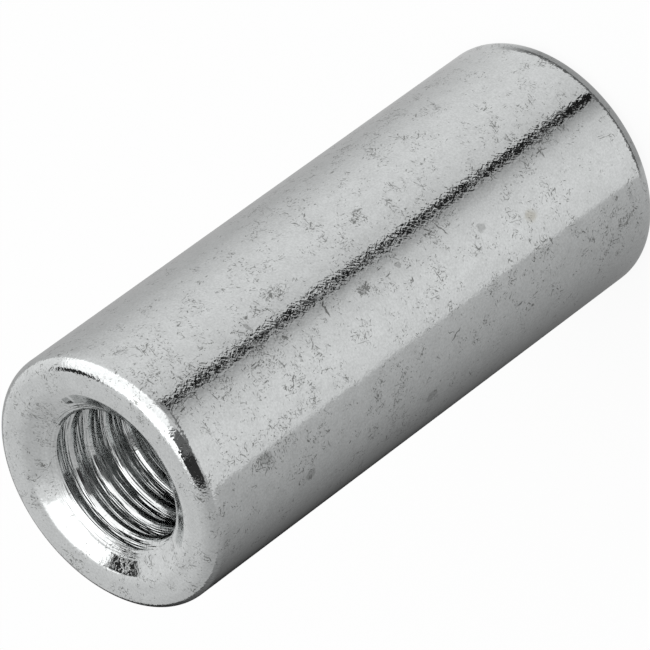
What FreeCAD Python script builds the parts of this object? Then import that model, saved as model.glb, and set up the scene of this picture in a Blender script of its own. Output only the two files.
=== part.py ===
"""Round coupling nut: a turned steel sleeve, tapped right through, standing on one end.

Units are millimetres. The axis is +Z and the origin is the centre of the lower end.
The bore is drawn at the tap drill's size, where the crests of the thread lie.
"""
import FreeCAD, Part
import math
import os
import Sketcher

NODE = "coupling_nut"

DRIVING_SIZES = {
    "overall_length": (39.5, "end to end"),
    "thread_diameter": (10.0, "nominal diameter of the thread"),
    "thread_pitch": (1.5, "coarse pitch of the thread"),
    "wall_thickness": (3.0, "wall outside the nominal diameter of the thread"),
    "countersink_clearance": (1.0, "how far each countersink's mouth stands outside the thread"),
    "countersink_depth": (1.0, "from each end to the start of the bore"),
    "edge_radius": (1.0, "rounding of the outer edge at each end"),
}

# What the sizes give. A tap drill is as wide as the thread less one pitch.
OUTER_RADIUS = "sizes.thread_diameter / 2 + sizes.wall_thickness"
MOUTH_RADIUS = "sizes.thread_diameter / 2 + sizes.countersink_clearance"
BORE_RADIUS = "(sizes.thread_diameter - sizes.thread_pitch) / 2"

# How a sketch numbers its own parts: a line's two ends, the origin and the horizontal axis.
START, END = 1, 2
ORIGIN = (-1, START)
HORIZONTAL_AXIS = -1

doc = FreeCAD.newDocument("round_coupling_nut")


def make_sheet():
    """The driving dimensions: a name, a number and a note on each row."""
    sheet = doc.addObject("Spreadsheet::Sheet", "sizes")
    for row, (alias, (value, note)) in enumerate(DRIVING_SIZES.items(), start=1):
        sheet.set(f"A{row}", alias)
        sheet.set(f"B{row}", str(value))
        sheet.set(f"C{row}", note)
        sheet.setAlias(f"B{row}", alias)
    doc.recompute()
    return sheet


def bind(sketch, name, formula, kind, *elements):
    """Adds a constraint of the formula's size, names it and ties it to the sheet."""
    constraint = Sketcher.Constraint(kind, *elements, sketch.evalExpression(formula))
    sketch.renameConstraint(sketch.addConstraint(constraint), name)
    sketch.setExpression(f"Constraints.{name}", formula)


def draw_half_section(body, sheet):
    """The wall cut through the axis: the bore, two countersinks, two flat ends and the outside."""
    sketch = body.newObject("Sketcher::SketchObject", "half_section")
    plane = next(item for item in body.Origin.OriginFeatures if item.Role == "XZ_Plane")
    sketch.AttachmentSupport = [(plane, "")]
    sketch.MapMode = "FlatFace"

    bore_radius = sketch.evalExpression(BORE_RADIUS)
    mouth_radius = sketch.evalExpression(MOUTH_RADIUS)
    outer_radius = sketch.evalExpression(OUTER_RADIUS)
    top = sheet.overall_length
    depth = sheet.countersink_depth
    corners = [
        FreeCAD.Vector(bore_radius, depth, 0),
        FreeCAD.Vector(mouth_radius, 0, 0),
        FreeCAD.Vector(outer_radius, 0, 0),
        FreeCAD.Vector(outer_radius, top, 0),
        FreeCAD.Vector(mouth_radius, top, 0),
        FreeCAD.Vector(bore_radius, top - depth, 0),
    ]
    lower_cone, lower_end, outside, upper_end, upper_cone, bore = range(len(corners))
    for start, end in zip(corners, corners[1:] + corners[:1]):
        sketch.addGeometry(Part.LineSegment(start, end), False)

    for line in range(len(corners)):
        following = (line + 1) % len(corners)
        sketch.addConstraint(Sketcher.Constraint("Coincident", line, END, following, START))
    for line in (outside, bore):
        sketch.addConstraint(Sketcher.Constraint("Vertical", line))
    for line in (lower_end, upper_end):
        sketch.addConstraint(Sketcher.Constraint("Horizontal", line))
    sketch.addConstraint(Sketcher.Constraint("PointOnObject", lower_end, START, HORIZONTAL_AXIS))

    # The upper end is the lower one turned over: as wide a land, and as long a cone.
    sketch.addConstraint(Sketcher.Constraint("Equal", lower_end, upper_end))
    sketch.addConstraint(Sketcher.Constraint("Equal", lower_cone, upper_cone))

    bind(sketch, "bore_radius", BORE_RADIUS, "DistanceX", *ORIGIN, lower_cone, START)
    bind(sketch, "mouth_radius", MOUTH_RADIUS, "DistanceX", *ORIGIN, lower_end, START)
    bind(sketch, "outer_radius", OUTER_RADIUS, "DistanceX", *ORIGIN, outside, START)
    bind(sketch, "countersink_depth", "sizes.countersink_depth", "DistanceY", *ORIGIN, lower_cone, START)
    bind(sketch, "overall_length", "sizes.overall_length", "DistanceY", outside, START, outside, END)
    doc.recompute()
    return sketch


def outer_rims(shape, radius):
    """Names of the two circular edges where the outside meets the ends."""
    names = []
    for number, edge in enumerate(shape.Edges, start=1):
        is_circle = isinstance(edge.Curve, Part.Circle)
        if is_circle and math.isclose(edge.Curve.Radius, radius, rel_tol=1e-6):
            names.append(f"Edge{number}")
    return names


def make_nut(sheet):
    """Turns the half section about the axis, then rounds the outer edge of each end."""
    body = doc.addObject("PartDesign::Body", NODE)
    body.Label = NODE
    sketch = draw_half_section(body, sheet)

    sleeve = body.newObject("PartDesign::Revolution", "turned_sleeve")
    sleeve.Profile = sketch
    sleeve.ReferenceAxis = (sketch, ["V_Axis"])
    sleeve.Angle = 360
    doc.recompute()

    rounding = body.newObject("PartDesign::Fillet", "end_rounding")
    rounding.Base = (sleeve, outer_rims(sleeve.Shape, sketch.getDatum("outer_radius").Value))
    rounding.setExpression("Radius", "sizes.edge_radius")
    doc.recompute()
    return body


def check_sound(body):
    """Stops before anything is written if an object failed or the shape isn't sound."""
    for item in doc.Objects:
        if {"Invalid", "Error"} & set(item.State):
            raise RuntimeError(f"{item.Name} is in state {item.State}")
    if body.Shape.isNull() or not body.Shape.isValid():
        raise RuntimeError(f"{body.Label} has no sound shape")


nut = make_nut(make_sheet())
check_sound(nut)

os.makedirs("parts", exist_ok=True)
nut.Shape.exportStep(f"parts/{nut.Label}.step")
box = nut.Shape.optimalBoundingBox(False, False)
print(f"{nut.Label}: {len(nut.Shape.Solids)} solid of {nut.Shape.Volume:.1f} mm3,",
      f"{box.XLength:.2f} x {box.YLength:.2f} x {box.ZLength:.2f} mm")
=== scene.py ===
# %% [markdown]
# A round coupling nut is a short steel sleeve with a thread right through it. It joins two threaded
# rods end to end. The real one is turned from round bar, countersunk at both ends, tapped, and then
# plated with zinc, which gives it a cool, softly mirror-like skin.
#
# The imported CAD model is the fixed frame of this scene: it says how large the nut is and where it
# stands. Its bore is plain, so the lesson makes a new nut of the same size with a real thread in it.

import math

import bmesh
import bpy
from mathutils import Matrix, Vector


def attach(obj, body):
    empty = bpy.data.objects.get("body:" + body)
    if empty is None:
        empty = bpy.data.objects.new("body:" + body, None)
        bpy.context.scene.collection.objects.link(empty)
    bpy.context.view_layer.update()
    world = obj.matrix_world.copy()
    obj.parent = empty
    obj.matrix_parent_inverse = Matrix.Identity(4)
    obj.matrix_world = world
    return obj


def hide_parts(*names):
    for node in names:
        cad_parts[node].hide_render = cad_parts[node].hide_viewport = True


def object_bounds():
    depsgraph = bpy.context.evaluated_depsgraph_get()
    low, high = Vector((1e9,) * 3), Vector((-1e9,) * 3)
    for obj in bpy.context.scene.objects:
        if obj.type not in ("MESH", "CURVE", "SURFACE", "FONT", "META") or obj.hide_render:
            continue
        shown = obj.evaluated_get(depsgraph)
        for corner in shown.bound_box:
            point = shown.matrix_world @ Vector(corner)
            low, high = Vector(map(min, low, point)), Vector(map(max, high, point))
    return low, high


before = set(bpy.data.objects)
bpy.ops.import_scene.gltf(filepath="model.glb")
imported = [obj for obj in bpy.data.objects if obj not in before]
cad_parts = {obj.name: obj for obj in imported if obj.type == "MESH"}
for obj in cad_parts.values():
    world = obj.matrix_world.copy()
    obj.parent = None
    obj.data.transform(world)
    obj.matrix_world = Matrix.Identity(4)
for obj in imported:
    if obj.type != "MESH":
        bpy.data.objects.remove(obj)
cad_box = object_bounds()
scene = bpy.context.scene
scene.view_settings.view_transform = "Standard"
print("CAD box in metres:", [list(corner) for corner in cad_box])

# %% [markdown]
# The pieces are modelled in millimetres, because a thread is easier to read that way, and scaled to
# metres at the end. The length and the outer radius come from the frame. The other sizes belong to an
# M10 thread: its pitch, its tap drill and the mouth of its countersink.

# %% The nut's sizes in millimetres
MM = 0.001
lower_corner, upper_corner = cad_box
length = (upper_corner.z - lower_corner.z) / MM
outer_radius = (upper_corner.x - lower_corner.x) / 2 / MM
pitch = 1.5
thread_radius = 5.0
bore_radius = 4.25
mouth_radius = 6.0
countersink_depth = 1.0
edge_radius = 1.0
print(f"nut of {2 * outer_radius:.2f} mm by {length:.2f} mm, thread pitch {pitch} mm")

# %% [markdown]
# The blank is what comes off the lathe: a sleeve with a plain bore. One half of its section is drawn
# point by point for the lower end and turned over for the upper one. A little beyond each rounding
# lies one more point: smooth shading would otherwise bend the flat and straight parts too, which a
# mirror shows at once.

# %% Draw the half section
mouth_rounding = 0.3
beyond = 0.15
cone_width = mouth_radius - bore_radius
cone_share = (mouth_rounding + beyond) / math.hypot(cone_width, countersink_depth)
lower_half = [
    (bore_radius, countersink_depth),
    (mouth_radius - cone_width * cone_share, countersink_depth * cone_share),
    (mouth_radius, 0),
    (mouth_radius + mouth_rounding + beyond, 0),
    (outer_radius - edge_radius - beyond, 0),
    (outer_radius, 0),
    (outer_radius, edge_radius + beyond),
]
upper_half = [(radius, length - height) for radius, height in reversed(lower_half)]


def section_face(mesh, corners):
    """A face in the plane of the axis, from (radius, height) pairs."""
    verts = [mesh.verts.new((radius, 0, height)) for radius, height in corners]
    return mesh.faces.new(verts)


blank = bmesh.new()
half_section = section_face(blank, lower_half + upper_half)
print(f"half section: {len(half_section.verts)} points")

# %% [markdown]
# A lathe is a spin, so the corners of the section are bevelled where the real edges are rounded, and
# its outline is then turned about the axis. Stacked cylinders would give the same outside, but the
# rounding would have to be cut from them afterwards.

# %% Turn the blank
blank_steps = 160
rim_segments = 14
mouth_segments = 6
blank_weld = 1e-4
near = 0.01

end_points = [v for v in half_section.verts if min(v.co.z, length - v.co.z) < near]
rim_corners = [v for v in end_points if v.co.x > outer_radius - near]
mouth_corners = [v for v in end_points if abs(v.co.x - mouth_radius) < near]
bmesh.ops.bevel(blank, geom=rim_corners, offset=edge_radius, affect="VERTICES",
                segments=rim_segments, profile=0.5, material=-1)
bmesh.ops.bevel(blank, geom=mouth_corners, offset=mouth_rounding, affect="VERTICES",
                segments=mouth_segments, profile=0.5, material=-1)
bmesh.ops.delete(blank, geom=blank.faces[:], context="FACES_KEEP_BOUNDARY")
bmesh.ops.spin(blank, geom=blank.verts[:] + blank.edges[:], cent=(0, 0, 0), axis=(0, 0, 1),
               angle=math.tau, steps=blank_steps, use_merge=True)
bmesh.ops.remove_doubles(blank, verts=blank.verts[:], dist=blank_weld)
bmesh.ops.recalc_face_normals(blank, faces=blank.faces[:])
print(f"blank: {len(blank.faces)} faces, {blank.calc_volume():.0f} mm3")

# %% [markdown]
# A tap cuts the thread: a ridge that winds up the bore and leaves a V-shaped groove behind. The ridge
# has a narrow root, straight flanks, and a little flare near the bore, which rounds the crests that
# stay behind. Only one side of it is worked out, and the other side mirrors it.

# %% Draw the tap's ridge
tap_turns = 32
turns_below_top = 29
groove_below_top = 0.44
root_flat = pitch / 8
flank_slope = math.tan(math.radians(30))


def ridge_half_width(radius):
    """Half the width of the V groove at a radius, for flanks of 60 degrees."""
    return root_flat / 2 + (thread_radius - radius) * flank_slope


# The root is (radius, half width) pairs, and the flare (radius past the bore, extra half width) pairs.
root = [(thread_radius, 0.05), (thread_radius - 0.03, 0.098)]
flank = [thread_radius - 0.09, bore_radius + 0.26]
flare = [(0.15, 0.004), (0.08, 0.018), (0.04, 0.045), (0.01, 0.085), (-0.05, 0.16)]
outline = root + [(radius, ridge_half_width(radius)) for radius in flank]
for past_bore, extra in flare:
    radius = bore_radius + past_bore
    outline.append((radius, ridge_half_width(radius) + extra))
start_height = length - groove_below_top - turns_below_top * pitch
upper_side = [(radius, start_height + half) for radius, half in outline]
lower_side = [(radius, start_height - half) for radius, half in reversed(outline)]
print(f"ridge: {len(upper_side + lower_side)} points, lowest turn at {start_height:.2f} mm")

# %% [markdown]
# The ridge is spun once and lifted by one pitch, and copies of that turn double it until it is long
# enough. It runs past both ends, as a real tap does, so that the groove fades out in the countersinks
# by itself. A drawn helix line or a bump map would not leave that run-out. The first step is a half
# one, so that the tap's points don't fall on the blank's.

# %% Wind the tap's ridge
tap_steps = 120
tap_weld = 1e-3
rise = pitch / tap_steps
half_step = Matrix.Rotation(math.tau / tap_steps / 2, 3, "Z")

tap = bmesh.new()
ridge = section_face(tap, upper_side + lower_side)
bmesh.ops.delete(tap, geom=[ridge], context="FACES_KEEP_BOUNDARY")
bmesh.ops.rotate(tap, verts=tap.verts[:], cent=(0, 0, 0), matrix=half_step)
bmesh.ops.translate(tap, verts=tap.verts[:], vec=(0, 0, rise / 2))
bmesh.ops.spin(tap, geom=tap.verts[:] + tap.edges[:], cent=(0, 0, 0), axis=(0, 0, 1),
               dvec=(0, 0, rise), angle=math.tau, steps=tap_steps)
turns = 1
while turns < tap_turns:
    copied = bmesh.ops.duplicate(tap, geom=tap.verts[:] + tap.edges[:] + tap.faces[:])
    copied_verts = [item for item in copied["geom"] if isinstance(item, bmesh.types.BMVert)]
    bmesh.ops.translate(tap, verts=copied_verts, vec=(0, 0, pitch * turns))
    turns = 2 * turns
bmesh.ops.remove_doubles(tap, verts=tap.verts[:], dist=tap_weld)
bmesh.ops.holes_fill(tap, edges=[e for e in tap.edges if e.is_boundary])
bmesh.ops.recalc_face_normals(tap, faces=tap.faces[:])
open_edges = [e for e in tap.edges if not e.is_manifold]
print(f"tap: {len(tap.faces)} faces, {len(open_edges)} open edges, {tap.calc_volume():.0f} mm3")

# %% [markdown]
# The cut is a Boolean difference. It runs between two helper objects, and the result is taken off
# the modifier as a plain mesh, so the helpers can go.

# %% Cut the thread
def as_object(name, mesh):
    """Hands a bmesh over to a new object in the scene."""
    data = bpy.data.meshes.new(name)
    mesh.to_mesh(data)
    mesh.free()
    made = bpy.data.objects.new(name, data)
    scene.collection.objects.link(made)
    return made


blank_object = as_object("blank", blank)
tap_object = as_object("tap", tap)
cut = blank_object.modifiers.new("cut_thread", "BOOLEAN")
cut.operation = "DIFFERENCE"
cut.solver = "MANIFOLD"
cut.object = tap_object
evaluated = blank_object.evaluated_get(bpy.context.evaluated_depsgraph_get())

nut_mesh = bmesh.new()
nut_mesh.from_mesh(evaluated.to_mesh())
evaluated.to_mesh_clear()
for helper in (blank_object, tap_object):
    bpy.data.objects.remove(helper)
print(f"cut: {len(nut_mesh.faces)} faces")

# %% [markdown]
# What the cut leaves is cleaned, turned the right way out and scaled to metres. Edges steeper than a set
# angle stay crisp, and the rest shade smoothly. The nut then rides on the frame's one body, and the CAD
# model's nut is hidden, so that this one stands for it.

# %% Clean the nut and give it its place
crisp_angle = math.radians(34)
cut_weld = 5e-4
bmesh.ops.remove_doubles(nut_mesh, verts=nut_mesh.verts[:], dist=cut_weld)
bmesh.ops.dissolve_degenerate(nut_mesh, edges=nut_mesh.edges[:], dist=cut_weld)
bmesh.ops.recalc_face_normals(nut_mesh, faces=nut_mesh.faces[:])
for face in nut_mesh.faces:
    face.smooth = True
for edge in nut_mesh.edges:
    edge.smooth = edge.is_manifold and edge.calc_face_angle(0) < crisp_angle
nut_volume = nut_mesh.calc_volume()
loose_edges = sum(not e.is_manifold for e in nut_mesh.edges)
bmesh.ops.scale(nut_mesh, verts=nut_mesh.verts[:], vec=(MM, MM, MM))
nut = as_object("threaded_sleeve", nut_mesh)
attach(nut, "root")
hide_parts("coupling_nut")
print(f"nut: {len(nut.data.polygons)} faces, {loose_edges} open edges, {nut_volume:.0f} mm3")

# %% [markdown]
# Materials are sums of many small nodes. One small class wraps a socket, so that the sums can be
# written as Python expressions, and its method node adds any other kind of node.

# %% A socket that can be used in sums
class Wire:
    """A socket of a node tree. Sums of wires add Math nodes."""

    def __init__(self, tree, socket=None):
        self.tree = tree
        self.socket = socket

    def node(self, kind, settings=None, inputs=None, out=0):
        """Adds a node: first its settings, then the values or wires of its sockets."""
        made = self.tree.nodes.new(kind)
        for name, value in (settings or {}).items():
            if name == "stops":
                self.set_stops(made.color_ramp, value)
            else:
                setattr(made, name, value)
        for key, value in (inputs or {}).items():
            if isinstance(value, Wire):
                self.tree.links.new(value.socket, made.inputs[key])
            else:
                made.inputs[key].default_value = value
        return Wire(self.tree, made.outputs[out] if len(made.outputs) else None)

    def also(self, out):
        """Another output of the same node."""
        return Wire(self.tree, self.socket.node.outputs[out])

    @staticmethod
    def set_stops(ramp, stops):
        """A ramp's stops as (place, grey level) pairs."""
        while len(ramp.elements) < len(stops):
            ramp.elements.new(1)
        for element, (place, grey) in zip(ramp.elements, stops):
            element.position = place
            element.color = (grey, grey, grey, 1)

    def math(self, operation, first, second=0):
        return self.node("ShaderNodeMath", {"operation": operation}, {0: first, 1: second})

    def __add__(self, other):
        return self.math("ADD", self, other)

    def __sub__(self, other):
        return self.math("SUBTRACT", self, other)

    def __rsub__(self, other):
        return self.math("SUBTRACT", other, self)

    def __mul__(self, other):
        return self.math("MULTIPLY", self, other)

    def __truediv__(self, other):
        return self.math("DIVIDE", self, other)

    def __rtruediv__(self, other):
        return self.math("DIVIDE", other, self)

    __radd__ = __add__
    __rmul__ = __mul__


def new_material(name):
    """A material with an empty node tree, and a wire to start from."""
    material = bpy.data.materials.new(name)
    material.use_nodes = True
    material.node_tree.nodes.clear()
    return material, Wire(material.node_tree)


print("wires are ready")

# %% [markdown]
# The zinc plating is a bright metal with a faint cool tint. On the real nut it isn't a perfect mirror:
# the skin under it is slightly wavy and grainy, it has pits, hairlines and dull spots from a life among
# other nuts, and the thread keeps the fine lines of the tap. All of that is worked out from the
# nut's own coordinates in millimetres, so nothing stretches or slides, and heights are in micrometres.
#
# First come the places: how far a point is from the axis, how high, and how far round. The unrolled
# skin is a flat map of the outside that runs on over the rounded edge and across the ends. On the ends
# only the radius counts, so that marks aren't drawn out on the slope of the countersink.

# %% Places on the nut
zinc, start = new_material("zinc_plating")
place = start.node("ShaderNodeTexCoord", out="Object")
in_mm = start.node("ShaderNodeVectorMath", {"operation": "SCALE"}, {0: place, "Scale": 1 / MM})
x_mm = start.node("ShaderNodeSeparateXYZ", inputs={0: in_mm}, out="X")
y_mm, z_mm = x_mm.also("Y"), x_mm.also("Z")
flat = start.node("ShaderNodeCombineXYZ", inputs={"X": x_mm, "Y": y_mm})
radius_mm = start.node("ShaderNodeVectorMath", {"operation": "LENGTH"}, {0: flat}, "Value")
turn_angle = start.math("ARCTAN2", y_mm, x_mm)


def between(value, low, high):
    """0 up to low, 1 from high on, and a soft step between them."""
    inputs = {"Value": value, "From Min": low, "From Max": high, "To Min": 0.0, "To Max": 1.0}
    return value.node("ShaderNodeMapRange", {"interpolation_type": "SMOOTHSTEP"}, inputs)


def near_ends(low, high):
    """1 up to low millimetres from either end of the nut, and 0 from high on."""
    return between(z_mm, length - high, length - low) + 1 - between(z_mm, low, high)


rounding_starts = outer_radius - edge_radius
in_thread = 1 - between(radius_mm, thread_radius + 0.04, thread_radius + 0.10)
in_bore = in_thread * (1 - near_ends(0.55, 0.75))
on_side = 1 - near_ends(edge_radius, edge_radius + 0.4)
on_ends = near_ends(countersink_depth - 0.02, countersink_depth + 0.02)
on_ends = on_ends * (1 - between(radius_mm, rounding_starts, rounding_starts + 0.3))

which_end = start.math("SIGN", z_mm - length / 2)
end_height = length / 2 + which_end * (length / 2)
along = z_mm + (end_height - z_mm) * on_ends + (outer_radius - radius_mm) * which_end
unrolled = start.node("ShaderNodeCombineXYZ", inputs={"X": turn_angle * outer_radius, "Y": along})
print(f"places: {len(zinc.node_tree.nodes)} nodes")

# %% [markdown]
# Three helpers make most of the marks: soft noise, a local frame that centres, turns and stretches a
# pattern, and an oval at a chosen place. Real marks have no smooth outlines, so the ovals and nicks
# lie on an unrolled skin that is itself nudged to and fro by a fine noise.

# %% Noise, local frames and ovals
def noise(scale, detail=2.0, vector=in_mm, shift=0.0):
    """Soft noise with about scale bumps in a millimetre, from another place for each shift."""
    inputs = {0: vector, 1: (shift, shift, shift)}
    moved = vector.node("ShaderNodeVectorMath", {"operation": "ADD"}, inputs)
    inputs = {"Vector": moved, "Scale": scale, "Detail": detail}
    return vector.node("ShaderNodeTexNoise", inputs=inputs)


def local_frame(vector, centre, turn, scale):
    """A place as seen from a centre, turned and measured in units of scale."""
    inputs = {"Vector": vector, "Location": centre, "Rotation": turn, "Scale": scale}
    return vector.node("ShaderNodeMapping", {"vector_type": "TEXTURE"}, inputs)


inputs = {"Vector": in_mm, "Scale": 2.4, "Detail": 3.0}
ragged = start.node("ShaderNodeTexNoise", inputs=inputs, out="Color")
inputs = {0: ragged, 1: (0.5, 0.5, 0.5)}
ragged = start.node("ShaderNodeVectorMath", {"operation": "SUBTRACT"}, inputs)


def nudged(amount):
    """The unrolled skin, shifted by up to half that many millimetres so that outlines aren't smooth."""
    inputs = {0: ragged, "Scale": amount}
    nudge = ragged.node("ShaderNodeVectorMath", {"operation": "SCALE"}, inputs)
    moved = ragged.node("ShaderNodeVectorMath", {"operation": "ADD"}, {0: unrolled, 1: nudge})
    return ragged.node("ShaderNodeVectorMath", {"operation": "MULTIPLY"}, {0: moved, 1: (1, 1, 0)})


for_spots = nudged(0.5)
for_nicks = nudged(0.12)


def spot(degrees, from_top, long, wide, lean=0, crisp=0.35):
    """An oval so many degrees round and millimetres down. Less than 0 is on the end, in from the rim."""
    centre = (math.radians(degrees) * outer_radius, length - from_top, 0)
    local = local_frame(for_spots, centre, (0, 0, math.radians(lean)), (wide, long, 1))
    away = local.node("ShaderNodeVectorMath", {"operation": "LENGTH"}, {0: local}, "Value")
    return 1 - between(away, crisp, 1.0)


print(f"helpers: {len(zinc.node_tree.nodes)} nodes")

# %% [markdown]
# The skin: a long, shallow wave bends the edges of the reflections, and a fine grain of short fibres,
# which the drawn bar had before it was plated, breaks them into flecks. Both are far too shallow to
# see where the reflection is even, which is how the real plating looks. Along one narrow seam of the
# side the grain is coarser. The noise is about one half on average, so the sum of two less 1 swings
# round 0, and where the grain fades out the skin doesn't tilt.

# %% Wave and grain
fibre_size = (0.15, 0.15, 0.36)
seam_angle = math.radians(-78.4)


def fibres(lean, shift):
    """Noise that is stretched into short fibres, which lean from the axis by some degrees."""
    stretched = local_frame(in_mm, (shift, 0, shift), (0, math.radians(lean), 0), fibre_size)
    inputs = {"Vector": stretched, "Scale": 1.0, "Detail": 0.5, "Distortion": 0.6}
    return stretched.node("ShaderNodeTexNoise", inputs=inputs)


wave = noise(0.8, detail=2.0) * 12
patches = between(noise(0.5, detail=1.0, shift=31.0), 0.38, 0.62)
off_seam = between(start.math("ABSOLUTE", turn_angle - seam_angle), 0.045, 0.085)
grain = (fibres(34, 7.0) + fibres(-28, 70.0) - 1) * (5.3 + patches * 2.6)
grain = grain * (1.6 - on_side * off_seam * 1.2) * (0.75 + on_side * 0.25)
grain = grain * (1 - on_ends * 0.8) * (1 - in_bore * 0.6)
inputs = {"W": radius_mm, "Scale": 9.0}
rings = start.node("ShaderNodeTexNoise", {"noise_dimensions": "1D"}, inputs)
skin_height = wave + grain + rings * on_ends * 1.2
print(f"skin: {len(zinc.node_tree.nodes)} nodes")

# %% [markdown]
# The skin isn't worn evenly: some places have rubbed against other nuts, and others never did. Two
# slow noises and a few worn zones say where marks gather. One zone, where the tool chattered, lies on
# the countersink.

# %% Where the skin is worn
rough_place = (144, -2.9, 1.0, 1.5)
# Degrees round, millimetres from the top, half length, half width and how much is worn there.
worn_zones = [
    (-92, 17, 26, 2.4, 0.06), (-112, 7, 5, 0.7, 0.25), (-67.5, 12, 1.3, 0.9, 0.55),
    (-61.4, 20, 0.9, 0.7, 0.55), (-88, 16.6, 0.8, 0.6, 0.45), (-103, 30, 6, 1.6, 0.14),
    (-101, 13, 7, 1.4, 0.08), (-122, 5, 1.2, 0.8, 0.30), (*rough_place, 0.30),
    (-132, 36.7, 1.0, 0.6, 0.50),
]
slow_wear = noise(0.25, detail=1.0, shift=90.0) - 0.5
patchy_wear = noise(1.2, detail=2.0, shift=60.0) - 0.5
worn = slow_wear * 0.7 + patchy_wear * 1.3
for *oval, amount in worn_zones:
    worn = worn + spot(*oval) * amount
print(f"wear: {len(worn_zones)} zones")

# %% [markdown]
# Nicks and pits come from Voronoi patterns: each cell has one middle, and only some cells, picked by
# the cell's own random colour, get a mark there. Painted marks would need a picture, and modelled ones
# far too many faces. Stretched cells on the unrolled skin give short straight nicks, cells that are
# stretched further give hairlines, wide ones crumbs, and round ones specks. Light nicks are fresh and
# bright, and the others have gone dull.

# %% Nicks, pits and hairlines
def picked_cells(vector, scale, dimensions, share):
    """Distance from each cell's middle, how strongly the cell is marked, and its random colour."""
    settings = {"voronoi_dimensions": dimensions}
    inputs = {"Vector": vector, "Scale": scale}
    distance = vector.node("ShaderNodeTexVoronoi", settings, inputs, "Distance")
    inputs = {0: distance.also("Color")}
    luck = vector.node("ShaderNodeSeparateColor", inputs=inputs, out="Red")
    picked = 1 - between(luck - worn, share - 0.04, share)
    return distance, picked * (0.25 + luck.also("Green") * 0.75), luck


def nicks(lean, wide, long, share):
    """Straight nicks that lean from the axis by some degrees, with one cell for each wide and long mm."""
    turn = (0, 0, math.radians(lean))
    stretched = local_frame(for_nicks, (lean, lean, 0), turn, (wide, long, 1))
    distance, strength, luck = picked_cells(stretched, 1.0, "2D", share)
    size = 0.45 + luck.also("Blue") * 0.55
    return (1 - between(distance / size, 0.10, 0.34)) * strength


def pits(scale, share, width):
    """Round pits with a ragged edge. The width is in millimetres."""
    distance, strength, _ = picked_cells(in_mm, scale, "3D", share)
    ragged_distance = distance / scale + (noise(9.0, shift=scale) - 0.5) * 0.12
    return (1 - between(ragged_distance, width * 0.25, width)) * strength


def gathered(marks):
    """The sum of several marks."""
    return sum(marks[1:], marks[0])


short_nicks = [nicks(lean, 0.12, 0.5, share=0.07) for lean in (12, -28, 52, -66, 86)]
long_nicks = [nicks(lean, 0.20, 1.1, share=0.0) for lean in (5, 38, -48, -80)]
nicking = gathered(short_nicks + long_nicks)
light_nicks = nicks(33, 0.12, 0.8, share=0.08) + nicks(-57, 0.12, 0.7, share=0.08)
crumbs = nicks(25, 0.40, 0.75, share=-0.16) + nicks(-40, 0.50, 0.70, share=-0.16)
specks = nicks(20, 0.19, 0.26, share=0.05) + nicks(-50, 0.16, 0.22, share=0.05)
hairs = nicks(-15, 0.12, 2.2, share=-0.01) + nicks(70, 0.12, 2.0, share=-0.01)
pitting = pits(0.45, share=0.08, width=0.16)
print(f"marks: {len(zinc.node_tree.nodes)} nodes")

# %% [markdown]
# A few marks are larger than that pattern: dull spots where something dripped, one pale stain, and
# single scratches that run across the side. Each is an oval at its own place: degrees round,
# millimetres from the top, half length, half width and, for a scratch, its lean in degrees.

# %% Dull spots, a stain and single scratches
dull_spots = [
    (-96, 26.0, 0.36, 0.32), (-88, 16.6, 0.42, 0.30), (-88, 19.6, 0.26, 0.22), (-72.4, 8.8, 0.20, 0.26),
    (-141, 8.3, 0.5, 0.4), (-120, 5.1, 0.6, 0.4), (-148, 19.0, 0.6, 0.4),
]
single_scratches = [
    (-85.5, 13.7, 0.6, 0.10, 76), (-85.5, 23.6, 0.85, 0.055, -72), (-96, 19.9, 0.26, 0.06, 75),
    (-127, 21.3, 0.8, 0.05, 25), (-125, 21.0, 0.4, 0.045, -30), (-101, 9.0, 0.6, 0.04, 50),
]
spots = gathered([spot(*oval, crisp=0.7) for oval in dull_spots])
scratches = gathered([spot(*oval) for oval in single_scratches])
stain = spot(-104, 29.6, 0.62, 0.52)
print(f"{len(dull_spots)} dull spots and {len(single_scratches)} scratches")

# %% [markdown]
# The tap leaves fine lines along the thread. Height in pitches less the share of a turn is the same
# all along one such line, and so is the radius, so noise that is stretched on a sum of the two gives
# lines that follow the helix. The turn is counted from the camera's side, where the count's jump is
# hidden under the rim. The flanks are smooth near the crest and more torn towards the root.

# %% Lines of the tap
turn_share = start.math("ARCTAN2", 0 - x_mm, y_mm) / math.tau
across = z_mm / pitch - turn_share


def tap_lines(lines, shift):
    """Noise in fine lines, which run along the thread."""
    count = (across * 2 + radius_mm) * lines
    inputs = {"X": count, "Y": x_mm * 0.5, "Z": y_mm * 0.5}
    along_helix = count.node("ShaderNodeCombineXYZ", inputs=inputs)
    return noise(1.0, detail=1.0, vector=along_helix, shift=shift)


torn = 0.3 + between(radius_mm, bore_radius + 0.03, bore_radius + 0.15) * 0.8
tap_height = (tap_lines(7, 5.0) * 26 + tap_lines(3, 15.0) * 30) * torn * in_bore
print(f"thread: {len(zinc.node_tree.nodes)} nodes")

# %% [markdown]
# All the heights go into one Bump node. They stay far below what geometry could hold, and in
# micrometres they can be set against each other. Where the tool chattered, the nicks go deeper.

# %% Heights of the skin
micrometre = 1e-6
mark_depth = nicking * (3.2 + spot(*rough_place) * 7) + pitting * 9 + scratches * 12
height = skin_height + tap_height - mark_depth
bump = start.node("ShaderNodeBump", inputs={"Height": height, "Strength": 1.0, "Distance": micrometre})
print(f"heights: {len(zinc.node_tree.nodes)} nodes")

# %% [markdown]
# At last the marks go into the colour and the roughness. A pit is dull because its ground is rough. A
# scratch is darkened as painted shade, because it is narrow and mostly in shade. Between the marks the
# zinc is faintly mottled.

# %% Put the plating together
bright_zinc = (0.68, 0.696, 0.696, 1)
dull_and_shaded_zinc = (0.22, 0.225, 0.22, 1)
stained_zinc = (0.52, 0.505, 0.45, 1)


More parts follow.
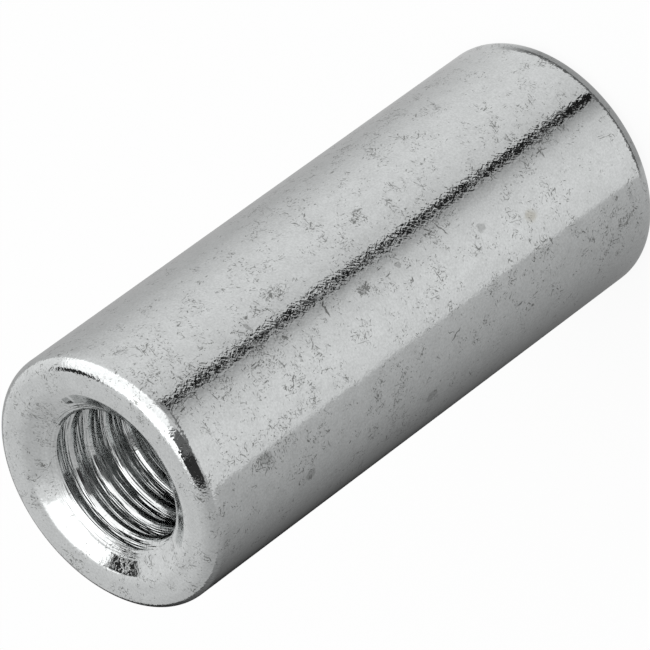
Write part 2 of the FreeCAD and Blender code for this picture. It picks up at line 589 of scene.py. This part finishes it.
def mixed_colour(share, first, second):
    """The first colour, with a share of the second."""
    inputs = {0: share, 6: first, 7: second}
    return share.node("ShaderNodeMix", {"data_type": "RGBA"}, inputs, out=2)


clouds = noise(1.1, detail=2.0, shift=40.0) - 0.5
powder = noise(8.0, detail=1.0, shift=45.0) - 0.5
# The scratches darken the colour as painted shade in their narrow grooves. The other marks and the
# mottling are dull zinc, so the dark colour carries both.
marks = nicking * 0.95 + specks + crumbs + hairs * 0.85 + pitting * 0.85 + scratches * 1.2
dullness_and_shade = 0.12 + clouds * 0.25 + powder * 0.55 + marks + spots * 0.4 - light_nicks * 0.35
plating_colour = mixed_colour(stain * 0.8, bright_zinc, stained_zinc)
plating_colour = mixed_colour(dullness_and_shade, plating_colour, dull_and_shaded_zinc)
roughness = 0.06 + patches * 0.03 + pitting * 0.2 + spots * 0.1 + stain * 0.15 + in_bore * 0.03
metal = start.node("ShaderNodeBsdfPrincipled", inputs={
    "Base Color": plating_colour,
    "Metallic": 1.0,
    "Roughness": roughness,
    "Normal": bump,
})
start.node("ShaderNodeOutputMaterial", inputs={"Surface": metal})
nut.data.materials.clear()
nut.data.materials.append(zinc)
print(f"zinc plating: {len(zinc.node_tree.nodes)} nodes")

# %% [markdown]
# The nut stands on a plain pale floor. Its shader gives camera and mirror rays the white of paper,
# mixed with a little of the real shading, so that the soft shadow stays.

# %% Floor
floor_radius = 3.0
round_segments = 96
paper_share = 0.92
floor_mesh = bmesh.new()
bmesh.ops.create_circle(floor_mesh, cap_ends=True, radius=floor_radius, segments=round_segments)
floor = as_object("floor", floor_mesh)

paper, start = new_material("white_paper")
camera_ray = start.node("ShaderNodeLightPath", out="Is Camera Ray")
seen = camera_ray + camera_ray.also("Is Glossy Ray") + camera_ray.also("Is Transmission Ray")
lit = start.node("ShaderNodeBsdfDiffuse", inputs={"Color": (0.8, 0.8, 0.8, 1)})
glow = start.node("ShaderNodeEmission", inputs={"Color": (1, 1, 1, 1), "Strength": 1.0})
mixed = start.node("ShaderNodeMixShader", inputs={0: seen * paper_share, 1: lit, 2: glow})
start.node("ShaderNodeOutputMaterial", inputs={"Surface": mixed})
floor.data.materials.append(paper)
print(f"floor: {floor_radius} m in radius")

# %% [markdown]
# Shiny metal shows what stands round it, so it is lit by large plain surfaces. A wide softbox on one
# side gives the white gleams, and a round one overhead brightens the upper end. Small bright lamps
# would only leave dots on the rounded edge.

# %% Softboxes
middle = Vector((0, 0, length * MM / 2))


def towards(azimuth, elevation):
    """A direction from the nut. Azimuth 0 is the camera's side and 90 is along +X."""
    a, e = math.radians(azimuth), math.radians(elevation)
    return Vector((math.sin(a) * math.cos(e), -math.cos(a) * math.cos(e), math.sin(e)))


def hang_softbox(name, shape, radiance, size, azimuth, elevation, distance, lift=0):
    """A lamp that faces the nut, slid up its own plane by lift. Only reflections show it."""
    width, height = size
    lamp = bpy.data.lights.new(name, "AREA")
    lamp.shape = shape
    lamp.size = width
    lamp.size_y = height
    area = width * height * (math.pi / 4 if shape == "ELLIPSE" else 1)
    lamp.energy = radiance * math.pi * area
    softbox = bpy.data.objects.new(name, lamp)
    scene.collection.objects.link(softbox)
    direction = towards(azimuth, elevation)
    turned = direction.to_track_quat("Z", "Y").to_matrix().to_4x4()
    slide = Matrix.Translation((0, lift, 0))
    softbox.matrix_world = Matrix.Translation(middle + direction * distance) @ turned @ slide
    softbox.visible_camera = False
    print(f"{name}: {width} by {height} m, {lamp.energy:.2f} W")


hang_softbox("side_softbox", "RECTANGLE", radiance=0.6, size=(1.25, 1.0),
             azimuth=60, elevation=30, distance=0.6, lift=0.25)
hang_softbox("overhead_softbox", "ELLIPSE", radiance=0.45, size=(0.23, 0.23),
             azimuth=138, elevation=86, distance=0.5)

# %% [markdown]
# The pale room does the rest. It is a little lighter on the wide softbox's side, so its level is a sum
# of the direction's own coordinates, and its ceiling glows in two soft steps, as a lit ceiling does.

# %% Room
room_level = 0.77
lighter_side = 0.28
world = bpy.data.worlds.new("room")
world.use_nodes = True
world.node_tree.nodes.clear()
scene.world = world
start = Wire(world.node_tree)
direction = start.node("ShaderNodeTexCoord", out="Generated")
along_x = start.node("ShaderNodeSeparateXYZ", inputs={0: direction}, out="X")
inputs = {0: direction, 1: towards(40, 78)}
overhead = start.node("ShaderNodeVectorMath", {"operation": "DOT_PRODUCT"}, inputs, "Value")
ceiling = between(overhead, 0.80, 0.95) * 0.3 + between(overhead, 0.93, 0.985) * 0.8
level = room_level + along_x * lighter_side + ceiling
room = start.node("ShaderNodeBackground", inputs={"Color": level, "Strength": 1.0})
start.node("ShaderNodeOutputWorld", inputs={"Surface": room})
print(f"room: {room_level - lighter_side:.2f} to {room_level + lighter_side:.2f} below the ceiling's glow")

# %% [markdown]
# White alone makes metal look like plaster. Dark cards round the camera give the gleams something to
# stand against, as the dark camera itself does in a real studio. They show in mirror rays only, so
# they never hide the nut, and they glow by themselves, so each keeps its grey whatever light falls on
# it. Some also keep the lamps' light off, as a flag in a studio does: Blender sends a lamp's light
# straight to the metal, and it would shine through a card that throws no shadow.

# %% Cards in the air
def only_in_reflections(card, shadow=False):
    """Shows a card in mirror rays only, and says whether it keeps the lamps' light off."""
    card.visible_camera = False
    card.visible_diffuse = False
    card.visible_transmission = False
    card.visible_volume_scatter = False
    card.visible_shadow = shadow


def let_glow(card, paint, start, colour):
    """Gives a card a paint that glows in a colour."""
    glow = start.node("ShaderNodeEmission", inputs={"Color": colour, "Strength": 1.0})
    start.node("ShaderNodeOutputMaterial", inputs={"Surface": glow})
    card.data.materials.append(paint)


def flat_card(name, grey, points, shadow=False):
    """A card of one grey, with its corners at some points in metres."""
    card_mesh = bmesh.new()
    card_mesh.faces.new([card_mesh.verts.new(point) for point in points])
    card = as_object(name, card_mesh)
    only_in_reflections(card, shadow)
    let_glow(card, *new_material(name), (grey, grey, grey, 1))
    print(f"{name}: grey {grey}, {len(points)} corners")


def hang_card(name, grey, eye, distance, corners, shadow=False):
    """A card in the air. Its corners are azimuths and elevations, seen from a point in mm."""
    points = [Vector(eye) * MM + towards(*corner) * distance for corner in corners]
    flat_card(name, grey, points, shadow)


front_rim = (-2.3, -7.4, 39.3)
countersink = (-4.2, 3.0, 39.0)
hang_card("black_card", 0.04, front_rim, 0.025,
          [(-47, 10), (-17, 10), (-30, 83), (-100, 72)], shadow=True)
hang_card("grey_tail", 0.22, front_rim, 0.06,
          [(-22, 10), (-10, 10), (21, -30), (13, -32)])
hang_card("grey_card", 0.16, front_rim, 0.065,
          [(-24, 4), (5, 4), (7, 66), (-36, 66)], shadow=True)
hang_card("dark_bar", 0.03, countersink, 0.053,
          [(102, 48), (118, 32), (136, 42), (120, 58)], shadow=True)

# %% [markdown]
# Seen from above, the upright side of the nut mirrors only the floor round it. So the zones of its
# shine are laid out on a round card on the floor, like a clock face: pale in front, and a fade to dark
# grey on one side. A mirror of this radius throws its rays apart from a point half a radius behind its
# skin, so the zones are centred there and run straight up the side.

# %% Card on the floor
card_radius = 2.9
card_height = 0.05
focus_radius = outer_radius * 0.53
floor_card_mesh = bmesh.new()
bmesh.ops.create_circle(floor_card_mesh, cap_ends=True, radius=card_radius, segments=round_segments)
bmesh.ops.translate(floor_card_mesh, verts=floor_card_mesh.verts[:], vec=(0, 0, card_height * MM))
floor_card = as_object("floor_card", floor_card_mesh)
only_in_reflections(floor_card)

# Azimuth in degrees and grey level, with soft fades between them.
zones = [
    (-180, 0.40), (-168, 0.03), (-160, 0.02), (-128, 0.205), (-92, 0.435), (-55, 0.59), (-53, 0.84),
    (-32, 0.93), (-14, 0.91), (4, 0.78), (16.5, 0.44), (20, 0.36), (26.5, 0.40), (28, 0.74),
    (44, 0.86), (66, 0.93), (86, 0.90), (124, 0.58), (180, 0.40),
]
floor_paint, start = new_material("floor_card")
place = start.node("ShaderNodeTexCoord", out="Object")
centred = start.node("ShaderNodeMapping", inputs={
    "Vector": place,
    "Location": (-focus_radius * MM, 0, 0),
    "Rotation": (0, 0, math.radians(90)),
})
inputs = {"Vector": centred}
azimuth = start.node("ShaderNodeTexGradient", {"gradient_type": "RADIAL"}, inputs, "Fac")
stops = [(degrees / 360 + 0.5, grey) for degrees, grey in zones]
zone = start.node("ShaderNodeValToRGB", {"stops": stops}, {"Fac": azimuth})
print(f"floor card with {len(zones)} zones")

# %% [markdown]
# The rounded edge at the nut's foot mirrors the floor right beside it, where the real nut's own shade
# lies. So the card has a grey ring there with a dark line in it, on the side towards the camera.

# %% Shade at the foot
foot_grey = (0.42, 0.42, 0.42, 1)
line_grey = (0.02, 0.02, 0.02, 1)
line_share = 0.7
from_axis = start.node("ShaderNodeVectorMath", {"operation": "LENGTH"}, {0: place}, "Value") / MM
in_front = between(azimuth, 0.33, 0.37) * (1 - between(azimuth, 0.70, 0.79))
at_foot = (1 - between(from_axis, 8.98, 9.10)) * in_front
dark_line = between(from_axis, 8.62, 8.70) * (1 - between(from_axis, 9.00, 9.10)) * in_front
shaded = mixed_colour(at_foot, zone, foot_grey)
shaded = mixed_colour(dark_line * line_share, shaded, line_grey)
let_glow(floor_card, floor_paint, start, shaded)
print(f"floor card paint: {len(floor_paint.node_tree.nodes)} nodes")

# %% [markdown]
# One thin black pointer on the clock face gives the dark streak along the side, which the coarser
# grain of the seam breaks into flecks. It is a strip of its own, just above the floor card, that fans
# out from the same centre: its ends can be chosen and its edges stay hard, where a ramp would fade.

# %% Black strip
strip_height = 0.1
focus = Vector((0, -focus_radius * MM, strip_height * MM))
# Azimuth in degrees and reach in millimetres.
strip_corners = [(19.9, 5.1), (19.9, 75), (26.9, 75), (26.9, 5.1)]
strip_points = [focus + towards(degrees, 0) * reach * MM for degrees, reach in strip_corners]
flat_card("black_strip", 0.015, strip_points)

# %% [markdown]
# The camera looks down on the nut at the photograph's angle, from far away with a long lens. Its tilt,
# roll and distance come from a fit to the nut's outline, and so do the scale and the pixel at which
# the nut's middle lies.

# %% Camera
frame_pixels = 650
sensor_mm = 36
tilt = math.radians(52.4869)
roll = math.radians(143.7711)
distance = 0.4479
pixels_per_metre = 17661
nut_pixel = (331.79, 319.37)

forward = Vector((0, math.sin(tilt), -math.cos(tilt)))
right = Vector((-math.sin(roll), math.cos(roll) * math.cos(tilt), math.cos(roll) * math.sin(tilt)))
up = right.cross(forward)
aside = (nut_pixel[0] - frame_pixels / 2) / pixels_per_metre
above = (frame_pixels / 2 - nut_pixel[1]) / pixels_per_metre
aim = middle - right * aside - up * above
lens = bpy.data.cameras.new("camera")
lens.sensor_width = sensor_mm
lens.lens = pixels_per_metre * distance / frame_pixels * sensor_mm
camera = bpy.data.objects.new("camera", lens)
scene.collection.objects.link(camera)
turn = Matrix((right, up, -forward)).transposed()
camera.matrix_world = Matrix.Translation(aim - forward * distance) @ turn.to_4x4()
scene.camera = camera
print(f"camera with a {lens.lens:.0f} mm lens at", [round(c, 4) for c in camera.location])
